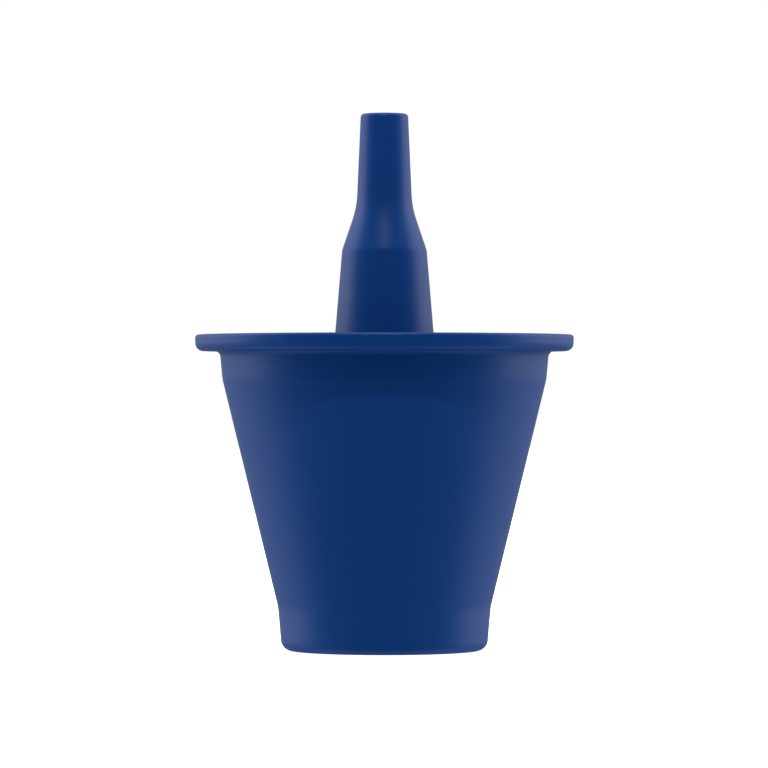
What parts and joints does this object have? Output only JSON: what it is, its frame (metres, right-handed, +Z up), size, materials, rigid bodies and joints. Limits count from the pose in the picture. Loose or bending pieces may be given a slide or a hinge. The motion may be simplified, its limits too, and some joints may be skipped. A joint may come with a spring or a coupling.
{
  "type": "fuel sampler cup",
  "caption": "Tapered cup with a rim flange and a lift-off hollow stem, whose tip presses a drain valve open and leads the fuel down into the cup.",
  "frame": {"origin": "centre of the base, in the plane of the face that the cup stands on", "axes": "+Z up along the axis of the cup and the stem, +X through one of the two keys at the foot of the stem"},
  "size_m": [0.06, 0.06, 0.085],
  "materials": {
    "cup_plastic": "satin moulded, fine texture",
    "stem_plastic": "satin moulded",
    "ring_rubber": "matte",
    "carrier_brass": "turned",
    "pin_steel": "ground"
  },
  "bodies": {
    "cup": {"cup": "cup_plastic", "grip_ring": "ring_rubber"},
    "stem": {"stem": "stem_plastic", "pin_carrier": "carrier_brass", "pusher_pin": "pin_steel"}
  },
  "joints": [
    {"name": "stem_lift", "type": "slide", "parent": "cup", "child": "stem", "axis": [0, 0, 1], "range_m": [0, 0.055]}
  ]
}
